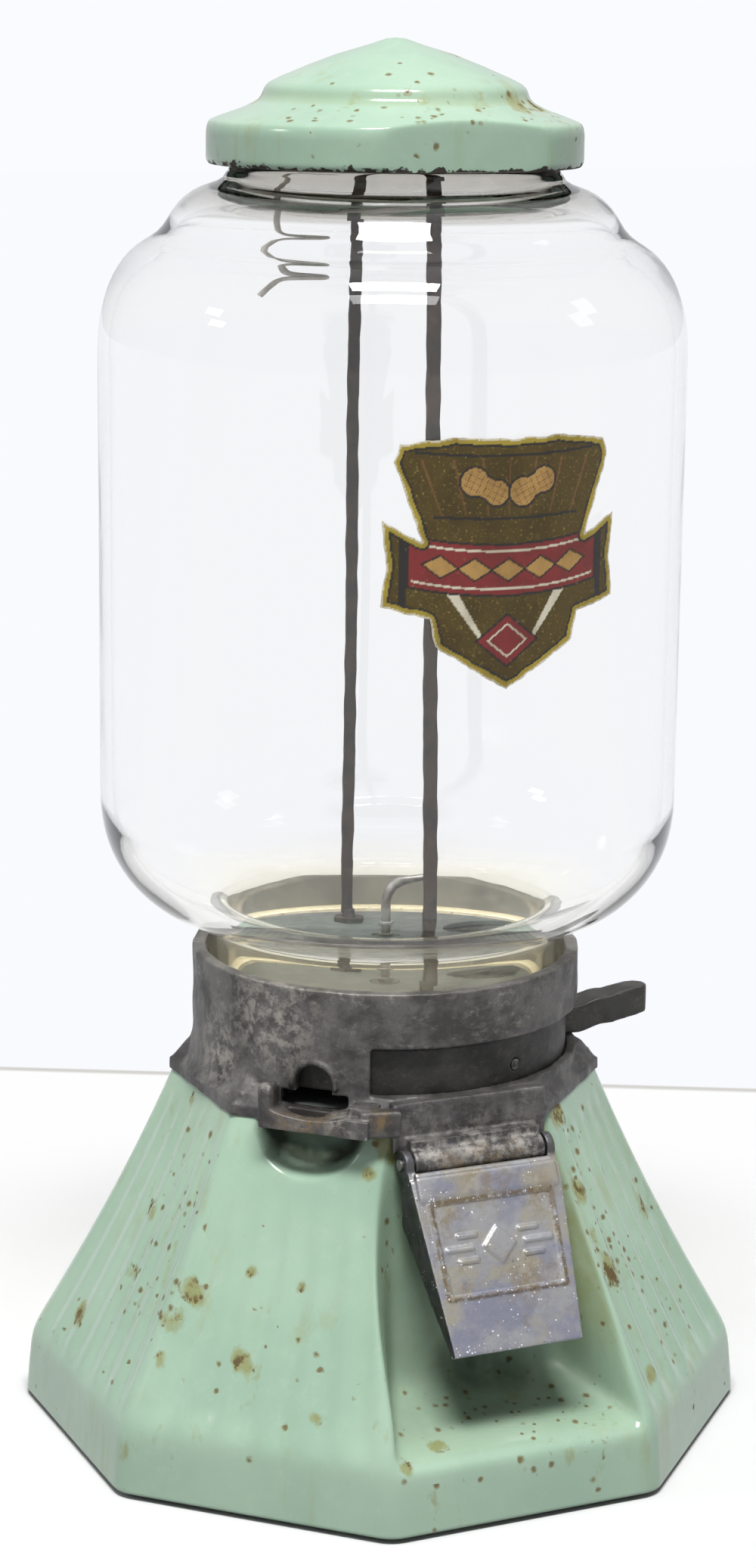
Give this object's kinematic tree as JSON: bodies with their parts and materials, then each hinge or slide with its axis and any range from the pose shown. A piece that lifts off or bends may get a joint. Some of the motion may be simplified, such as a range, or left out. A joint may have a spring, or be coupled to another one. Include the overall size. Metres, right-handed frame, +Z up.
{
  "type": "peanut vending machine",
  "caption": "Counter nut vending machine: octagonal enamelled base, die-cast collar with lever, glass globe on tie straps, hinged delivery flap and lift-off lid.",
  "frame": {"origin": "on the vertical axis at the underside of the pads", "axes": "+Z up, front with the delivery flap towards -Y, lever towards +X"},
  "size_m": [0.189, 0.189, 0.3828],
  "materials": {
    "enamel": "glossy baked enamel",
    "die_casting": "weathered die casting",
    "flap_metal": "pitted die casting",
    "wheel_metal": "cast",
    "rusty_steel": "rusted",
    "dark_steel": "dull",
    "plain_steel": "dull",
    "brass": "dull",
    "cork": "cork ring",
    "glass": "clear",
    "rubber": "matt"
  },
  "bodies": {
    "machine": {"base_shell": "enamel", "mechanism_body": "die_casting", "wheel_plate": "die_casting", "hopper_floor": "die_casting", "front_strap": "rusty_steel", "rear_strap": "rusty_steel", "strap_nuts": "rusty_steel", "clamp_yoke": "rusty_steel", "yoke_nuts": "rusty_steel", "bottom_screws": "dark_steel", "body_bolts": "dark_steel", "chute_screws": "dark_steel", "floor_screws": "dark_steel", "bottom_plate": "plain_steel", "flap_pin": "plain_steel", "delivery_chute": "plain_steel", "shaft_bush": "brass", "lock_barrel": "brass", "lock_nut": "brass", "globe_gasket": "cork", "glass_globe": "glass", "foot_pads": "rubber"},
    "rotor": {"lever_drum": "die_casting", "measuring_wheel": "wheel_metal", "drum_pins": "plain_steel", "wheel_shaft": "plain_steel", "spring_arm": "plain_steel", "arm_screw": "dark_steel", "return_spring": "dark_steel", "agitator": "plain_steel"},
    "flap": {"chute_flap": "flap_metal"},
    "lid": {"lid": "enamel", "lid_catch": "rusty_steel", "catch_rivet": "rusty_steel"},
    "lock": {"lock_plug": "plain_steel", "lock_cam": "plain_steel", "cam_nut": "plain_steel"}
  },
  "joints": [
    {"name": "lever_turn", "type": "hinge", "parent": "machine", "child": "rotor", "pos_m": [0, 0, 0.11], "axis": [0, 0, -1], "range_deg": [0, 90], "stiffness_Nm_per_rad": 0.25},
    {"name": "flap_swing", "type": "hinge", "parent": "machine", "child": "flap", "pos_m": [0, -0.06, 0.091], "axis": [-1, 0, 0], "range_deg": [0, 50]},
    {"name": "lid_lift", "type": "slide", "parent": "machine", "child": "lid", "axis": [0, 0, 1], "range_m": [0, 0.06]},
    {"name": "lock_turn", "type": "hinge", "parent": "machine", "child": "lock", "pos_m": [0, 0.075, 0.04], "axis": [0, 1, 0], "range_deg": [0, 90]}
  ]
}
